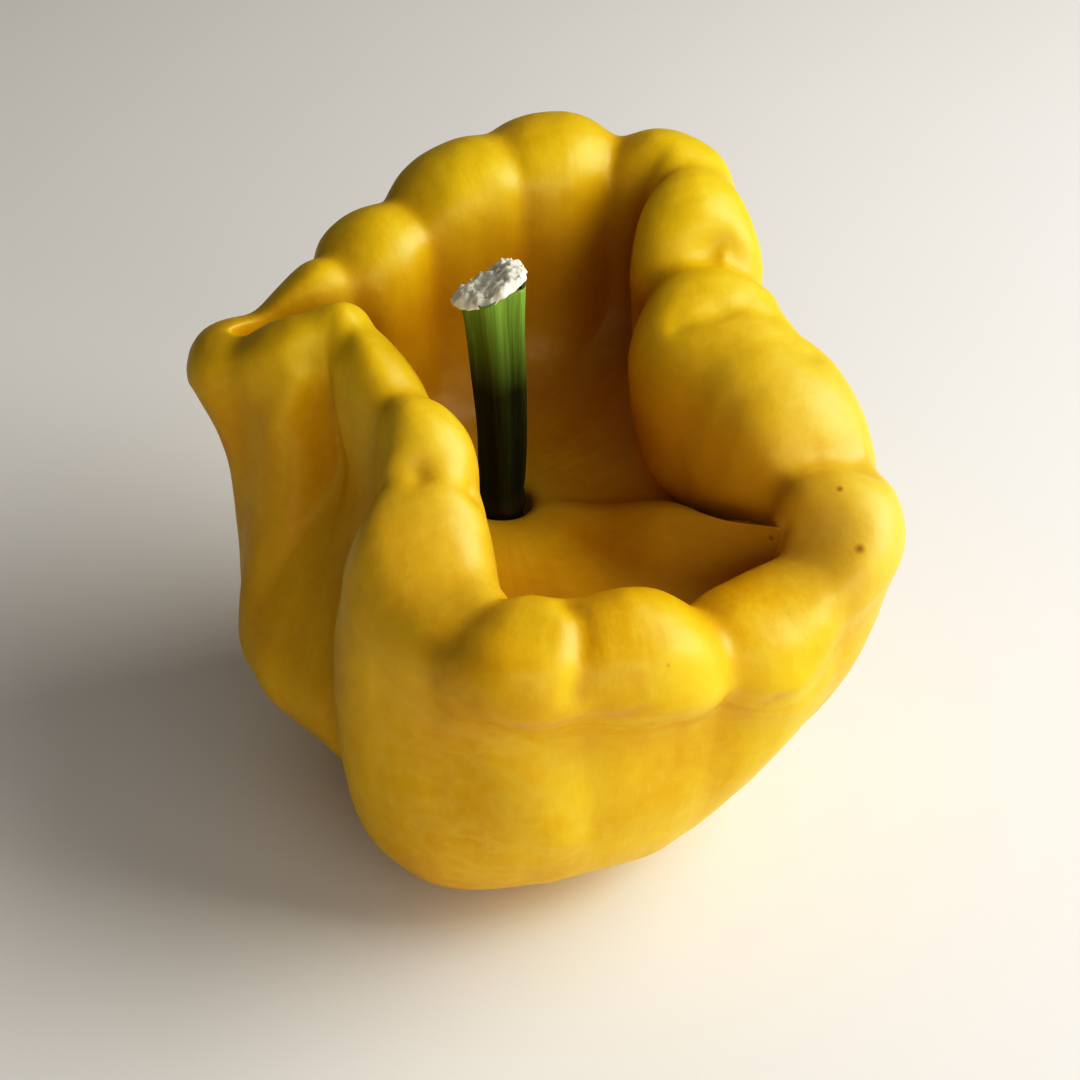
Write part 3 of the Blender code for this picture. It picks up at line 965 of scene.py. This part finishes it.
# Over deep gold: patches of bright gold, a lighter, yellower gold high up as
# painted light, a fine mottle as if dusted, light and dark streaks, the
# marbling, the painted highlights on three lobes; then painted shade in the
# hollow and the creases, the pale skin round the scar, the greener skin round
# the stalk, and thin tan cork.
GROUND = "DAA600"
COATS = (
    ("patches", 0.35, 0.65, 1.0, "E8BC06"),
    # Painted light: the high part of the fruit is painted a lighter, yellower gold.
    ("height", 80 * MM, 108 * MM, 0.45, "E0C71C"),
    ("mottle", 0.45, 0.75, 0.30, "F0CA34"),
    ("streaks", 0.5, 0.8, 0.14, "F0CC40"),
    ("streaks", 0.5, 0.2, 0.14, "CE9200"),
    ("curls", 0.0, 1.0, 1.0, "F4D872"),
    # Painted highlight on three lobes.
    ("painted highlights", 0.0, 1.0, 1.0, "EFD06C"),
    # Painted shade: the hollow and the creases are painted darker and more orange.
    ("hollow_shade", 0.0, 1.0, 0.60, "A67200"),
    ("crease_shade", 0.2, 1.0, 0.30, "B07400"),
    ("along", 0.13, 0.04, 0.55, "E9D377"),
    ("along", 0.88, 0.945, 0.6, "B9A636"),
    ("cork", 0.1, 0.9, 0.7, "DCA068"),
)
colour = paint_over(tree, srgb(GROUND), guides, COATS)
print("coats on the rind:", len(COATS))

# %% Rind: scar and specks
# The blossom scar is rough cork of two browns.
browns = {0: guides["scar grain"], 6: srgb("8A6034"), 7: srgb("C7A266")}
scar_brown = add(tree, "ShaderNodeMix", browns, data_type="RGBA").outputs[2]
pair = {0: guides["scar"], 6: colour, 7: scar_brown}
colour = add(tree, "ShaderNodeMix", pair, data_type="RGBA").outputs[2]

# Small brown knocks: place and radius in millimetres.  Each fades out from
# inside its radius to well outside it.
KNOCKS = (
    ((62.1, -28.0, 80.4), 0.75),
    ((58.6, -17.0, 86.9), 0.5),
    ((45.7, -16.8, 74.5), 0.45),
    ((24.0, -60.0, 77.0), 0.35),
    ((48.0, -40.0, 74.0), 0.4),
)
FADE_OUT, FADE_IN = 1.8 * MM, 0.4 * MM
for place, radius in KNOCKS:
    ends = {0: spot, 1: Vector(place) * MM}
    gap = add(tree, "ShaderNodeVectorMath", ends, operation="DISTANCE").outputs["Value"]
    speck = (("gap", radius * FADE_OUT, radius * FADE_IN, 0.7, "84581E"),)
    colour = paint_over(tree, colour, {"gap": gap}, speck)
print("brown specks:", len(KNOCKS))

# %% [markdown]
# ## Wax on the rind
#
# The wax film is uneven, thick in some places and rubbed thin in others, and
# cork has none, so it is duller.  Plant wax and cell walls have an index of
# refraction near 1.45.  The bumps are three: shallow dimples the size of a
# lentil, a grain like fine leather, drawn at 0.7 mm because the true pores, a
# tenth of that, would not show, and a faint relief of the streaks.

# %% Rind: gloss and bumps
# What cork and scar add to the roughness, and the depth of each set of bumps in
# millimetres.  A set of bumps lies on the one before.
DULLER = {"cork": 0.25, "scar": 0.3}
BUMPS = {"dimples": 0.12, "grain": 0.02, "streaks": 0.06}
wax = {0: guides["wax"], 1: 0.3, 2: 0.7, 3: 0.38, 4: 0.50}
dull = add(tree, "ShaderNodeMapRange", wax).outputs[0]
for guide, more in DULLER.items():
    values = {0: guides[guide], 1: more, 2: dull}
    dull = add(tree, "ShaderNodeMath", values, operation="MULTIPLY_ADD").outputs[0]
relief = {}
for guide, depth in BUMPS.items():
    values = {"Height": guides[guide], "Distance": depth * MM, "Strength": 1.0, **relief}
    relief = {"Normal": add(tree, "ShaderNodeBump", values).outputs["Normal"]}
finish = {
    "Base Color": colour,
    "Roughness": dull,
    "IOR": 1.45,
    "Coat Weight": 0.16,
    "Coat Roughness": 0.42,
    "Subsurface Weight": 0.18,
    "Subsurface Radius": (1.0, 0.45, 0.12),
    "Subsurface Scale": 3.0 * MM,
}
connect(tree, shader, {**finish, **relief})
fruit.data.materials.append(rind)
print("rind nodes:", len(tree.nodes))

# %% [markdown]
# ## The stalk
#
# The stalk is a tough green stem with five rounded ridges, where its strands
# of fibre run, and fine grooves between.  It swells a little where it takes
# hold of the fruit.  A ball drawn out along a line of given thicknesses gives
# a closed body with its ridges running pole to pole; a swept circle would need
# its ends closed by hand.

# %% Stalk: line and thickness
# Middle (x, y, z) and radius from the foot to the cut, in millimetres.
STALK = (
    (-9.6, 14, 57.3, 4.9),
    (-9.6, 14, 60.5, 4.9),
    (-9.6, 14, 63.5, 4.6),
    (-9.4, 13.8, 68, 4.7),
    (-9.1, 13.2, 78, 4.9),
    (-9.3, 12.4, 89, 5.2),
    (-9.7, 11.4, 100, 5.5),
    (-10.1, 10.4, 110, 5.9),
    (-10.3, 9.8, 117, 6.4),
)
steps = np.array(STALK, float)
stalk_knots = (steps[:, 2] - steps[0, 2]) / (steps[-1, 2] - steps[0, 2])


def stalk_line(rise):
    """Middle and thickness of the stalk a part of the way up."""
    return line_spline(stalk_knots, np.repeat(steps[:, None, :], len(rise), axis=1), rise)


print("stalk thickness, mm:", (2 * steps[:, 3]).tolist())

# %% Stalk: ridges and foot
# The ball up to FOOT_TO closes the stalk's foot, and from CUT_FROM on it
# closes the cut.  The twist is in radians from end to end.
FOOT_TO, CUT_FROM = 0.06, 0.86
RIDGES, RIDGE_DEPTH, TWIST = 5, 0.09, 0.5
FIBRE_TUBE, FIBRE_SIZE, FIBRE_HEIGHT = 9.0, 1.3, 0.16
SWELL_AT, SWELL_HEIGHT, SWELL_UP, SWELL_DOWN = 0.058, 0.6, 0.045, 0.022
stalk_shape = bmesh.new()
bmesh.ops.create_uvsphere(stalk_shape, u_segments=180, v_segments=150, radius=1.0)
ball = np.array([v.co for v in stalk_shape.verts])
angle = np.arctan2(ball[:, 1], ball[:, 0])
up_ball = np.arccos(np.clip(-ball[:, 2], -1, 1)) / math.pi
rise = np.clip((up_ball - FOOT_TO) / (CUT_FROM - FOOT_TO), 0.0, 1.0)
middle = stalk_line(rise)

# Ridges and the fine grooves of the fibres begin above the foot, which swells.
ridge = np.cos(RIDGES * (angle + TWIST * rise))
fibre = wave(on_tube(FIBRE_TUBE, angle, 5 * rise), FIBRE_SIZE, 2.0)
begun = np.clip((rise - 0.03) / 0.12, 0.0, 1.0)
swell_reach = np.where(rise > SWELL_AT, SWELL_UP, SWELL_DOWN)
swell = SWELL_HEIGHT * np.exp(-(((rise - SWELL_AT) / swell_reach) ** 2)) * (0.75 + 0.25 * ridge)
radius = middle[:, 3] * (1.0 + begun * RIDGE_DEPTH * ridge) + swell + FIBRE_HEIGHT * fibre * begun
print("thickest place, mm:", round(2 * float(radius.max()), 1))

# %% Stalk: the cut
# A thin torn rim of rind, higher on the right, stands round the sunken pith.
# Going in from the rim, the ball's cap is first the rim's inner side and then,
# from FLOOR_FROM on, the floor, which is FLOOR_WIDE of the stalk's width.
FLOOR_FROM, FLOOR_WIDE, FLOOR_SINK = 0.80, 0.86, 3.0
TEAR_HEIGHT, TEAR_SIZE, CUT_LEAN, CUT_DROP = 0.7, 1.4, 0.36, 0.5
end = np.clip((1.0 - up_ball) / (1.0 - CUT_FROM), 0.0, 1.0)
side = np.clip((end - FLOOR_FROM) / (1 - FLOOR_FROM), 0.0, 1.0)
width = np.minimum(end / FLOOR_FROM, 1.0) * FLOOR_WIDE + (1 - FLOOR_WIDE) * side
radius = radius * width * np.clip(up_ball / FOOT_TO, 0.0, 1.0)
tear = wave(on_tube(4.0, angle, 0.0), TEAR_SIZE, 7.0)
torn = TEAR_HEIGHT * tear + CUT_LEAN * np.cos(angle + 0.1) * middle[:, 3] - CUT_DROP
height = torn * rise**8 - FLOOR_SINK * (1 - side)
places = middle[:, :3] + on_tube(radius, angle, height)
set_places(stalk_shape, places)
bmesh.ops.recalc_face_normals(stalk_shape, faces=stalk_shape.faces)
print("top of the rim, mm:", round(float(places[:, 2].max()), 1))

# %% The stalk object
# Fibres run up the stalk, so their places are given round it and along it.
# The cut's pale edge begins just inside the rim.
STALK_LENGTH = 64.0
stalk = finish_shape("green_stalk", stalk_shape)
marks = {
    "rise": rise,
    "ridge": 0.5 + 0.5 * ridge,
    "cut": np.clip((0.99 - end) / 0.08, 0.0, 1.0),
    "fibre": on_tube(FIBRE_TUBE, angle, STALK_LENGTH * rise),
}
for name, values in marks.items():
    remember(stalk, name, values)
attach(stalk, "root")
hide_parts("stem")
print("faces in the stalk:", len(stalk.data.polygons))

# %% [markdown]
# ## The pith in the cut
#
# A pattypan stalk is filled with spongy white pith.  Cut and left to dry, it
# shrinks and frays, and stands above the rind in a ragged crust.  It is its
# own piece, because it has its own colour and softness: a ball pressed flat,
# with a rough top that rises to the right like the cut, and a few dozen
# loose strands round the edge.

# %% Pith: the ragged plug
# Millimetres.  The lip overhangs the rind, unevenly, with a tongue at the left.
# The crust on top rises in clumps: their height, size and part of the noise.
CUT_SLOPE, STEP_HEIGHT, STEP_AT, STEP_WIDTH = 0.32, 0.9, 0.4, 1.4
PITH_RADIUS, PITH_DEPTH = 5.2, 5.5
LIP, LIP_UNEVEN, TONGUE = 1.9, 0.9, 2.0
CRUST, CLUMPS = 1.9, ((0.9, 2.2, 1.0), (0.6, 0.9, 4.0))
pith_shape = bmesh.new()
bmesh.ops.create_uvsphere(pith_shape, u_segments=120, v_segments=80, radius=1.0)
ball = np.array([v.co for v in pith_shape.verts])
angle = np.arctan2(ball[:, 1], ball[:, 0])
level = 0.5 + 0.5 * ball[:, 2]


def cut_height(x):
    """Height of the cut, which steps up to the right of the stalk's middle."""
    return STALK[-1][2] + CUT_SLOPE * x + STEP_HEIGHT * np.tanh((x - STEP_AT) / STEP_WIDTH)


ragged = wave(on_tube(2.0, angle, 1.5 * level), 0.5)
lip = np.clip((level - 0.62) / 0.10, 0.0, 1.0)
tongue = np.exp(-(((np.abs(angle) - math.pi) / 0.5) ** 2))

# The square root fills the ball out to a plug with steep sides.
full = np.clip(np.hypot(ball[:, 0], ball[:, 1]), 0, 1) ** 0.5
out = full * (PITH_RADIUS + lip * (LIP + LIP_UNEVEN * ragged + TONGUE * tongue))
flat = on_tube(out, angle, 0.0)
clumps = sum(high * wave(flat, size, shift) for high, size, shift in CLUMPS)
crust = (CRUST + np.clip(clumps, -1.2, 1.2)) * np.clip((level - 0.55) / 0.3, 0.0, 1.0)
flat[:, 2] = cut_height(flat[:, 0]) - PITH_DEPTH * (1 - level) + crust
under_cut = stalk_line(np.array([0.98]))[0]
set_places(pith_shape, flat + under_cut[:3] * np.array([1, 1, 0]))
print("top of the pith, mm:", round(float(flat[:, 2].max()), 1))

# %% Pith: loose strands
# Each strand is a thin cone with its foot sunk in the crust.
STRANDS, STRAND_UP = 30, 0.9
THICK, THIN = 0.45 * MM, 0.18 * MM
stalk_x, stalk_y = STALK[-1][:2]
chance = np.random.default_rng(7)
for strand in range(STRANDS):
    way = 2 * math.pi * (strand + chance.uniform(-0.4, 0.4)) / STRANDS
    out = chance.uniform(1.5, 6.3)
    long = chance.uniform(0.8, 1.5)
    lean = chance.uniform(-0.3, 0.7)
    x, y = out * math.cos(way), out * math.sin(way)
    middle = Vector((stalk_x + x, stalk_y + y, cut_height(x) + STRAND_UP + 0.2 * long))
    turn = Matrix.Rotation(way, 4, "Z") @ Matrix.Rotation(lean, 4, "Y")
    bmesh.ops.create_cone(
        pith_shape,
        cap_ends=True,
        segments=5,
        radius1=THICK,
        radius2=THIN,
        depth=long * MM,
        matrix=Matrix.Translation(middle * MM) @ turn,
    )
bmesh.ops.recalc_face_normals(pith_shape, faces=pith_shape.faces)
pith = finish_shape("stalk_pith", pith_shape)
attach(pith, "root")
print("strands:", STRANDS)

# %% [markdown]
# ## Green rind of the stalk
#
# The stalk's skin is tough and only slightly waxy, so its gloss is weak and
# broken into streaks.  It is dark green, a little lighter on the ridges, and
# brown where it meets the fruit; the dark green is partly its own colour and
# partly painted shade, and towards the cut it is painted a much lighter green
# as painted light.  Fibres about 0.5 mm wide run its whole length; they are
# drawn a little wider, and thirty times as long as wide.

# %% Stalk rind
green, tree, shader = new_material("ribbed green stalk rind")
spot = add(tree, "ShaderNodeTexCoord").outputs["Object"]
fibres = add(tree, "ShaderNodeAttribute", attribute_name="fibre").outputs["Vector"]
stretch = {"Vector": fibres, "Scale": (1.0, 1.0, 0.03)}
fibre_place = add(tree, "ShaderNodeMapping", stretch).outputs["Vector"]
PATTERNS = {"lines": (fibre_place, 0.7, 3.0, 0.6), "old": (spot, 6.0, 3.0, 0.55)}
guides = find_guides(tree, PATTERNS, ("ridge", "rise", "cut"))

# Over the green of the grooves, dark partly as painted shade: ridges, pale and
# dark fibres, weathered patches, the top painted lighter as painted light, the
# brown foot and the pale edge of the cut.
# The ground green is dark partly as painted shade.
GROUND = "1C2007"
COATS = (
    ("ridge", 0.0, 1.0, 1.0, "2C360C"),
    ("lines", 0.5, 0.75, 0.35, "46561A"),
    ("lines", 0.5, 0.25, 0.5, "161C04"),
    ("old", 0.5, 0.75, 0.35, "38360C"),
    # Painted light: the top of the stalk is painted a much lighter green.
    ("rise", 0.58, 1.0, 0.85, "8CB050"),
    ("rise", 0.14, 0.05, 0.6, "4E3C0C"),
    ("cut", 0.0, 1.0, 1.0, "CFD3A8"),
)
dull = {0: guides["lines"], 1: 0.3, 2: 0.7, 3: 0.60, 4: 0.45}
furrows = {"Height": guides["lines"], "Distance": 0.25 * MM, "Strength": 1.0}
finish = {
    "Base Color": paint_over(tree, srgb(GROUND), guides, COATS),
    "Roughness": add(tree, "ShaderNodeMapRange", dull).outputs[0],
    "IOR": 1.40,
    "Subsurface Weight": 0.08,
    "Subsurface Radius": (0.4, 1.0, 0.15),
    "Subsurface Scale": 1.0 * MM,
    "Normal": add(tree, "ShaderNodeBump", furrows).outputs["Normal"],
}
connect(tree, shader, finish)
stalk.data.materials.append(green)
print("stalk rind nodes:", len(tree.nodes))

# %% [markdown]
# ## Dried pith
#
# Dried pith is off-white, rough and without gloss, and painted a little darker
# in its pits as painted shade; it is so porous that light sinks in and comes out
# again.  Its cells are drawn at 0.9 mm, because the true ones, a tenth of that,
# would not show.

# %% Pith material
white, tree, shader = new_material("dried white pith")
spot = add(tree, "ShaderNodeTexCoord").outputs["Object"]
guides = find_guides(tree, {"cells": (spot, 0.9, 4.0, 0.7), "damp": (spot, 3.0, 3.0, 0.55)}, ())
GROUND = "F6ECD2"
# Painted shade: the pits of the cells are left darker and the tops painted lighter.
COATS = (("cells", 0.35, 0.65, 1.0, "FFFAEA"), ("damp", 0.5, 0.8, 0.25, "E6EACC"))
dull = {0: guides["cells"], 1: 0.3, 2: 0.7, 3: 0.95, 4: 0.8}
crumbs = {"Height": guides["cells"], "Distance": 0.12 * MM, "Strength": 1.0}
finish = {
    "Base Color": paint_over(tree, srgb(GROUND), guides, COATS),
    "Roughness": add(tree, "ShaderNodeMapRange", dull).outputs[0],
    "Subsurface Weight": 0.5,
    "Subsurface Radius": (1.0, 0.9, 0.75),
    "Subsurface Scale": 1.5 * MM,
    "Normal": add(tree, "ShaderNodeBump", crumbs).outputs["Normal"],
}
connect(tree, shader, finish)
pith.data.materials.append(white)
print("pith nodes:", len(tree.nodes))

# %% [markdown]
# ## The sizes
#
# Both boxes, of the measured model and of the finished pieces, are printed.
# The finished pieces must keep the size of the measured model.

# %% Print the sizes
finished_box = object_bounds()


def plain(value):
    """Nested plain lists of numbers."""
    return [plain(v) for v in value] if hasattr(value, "__len__") else float(value)


{"cad": plain(measured_box), "visual": plain(finished_box)}
print("measured:", plain(measured_box))
print("finished:", plain(finished_box))
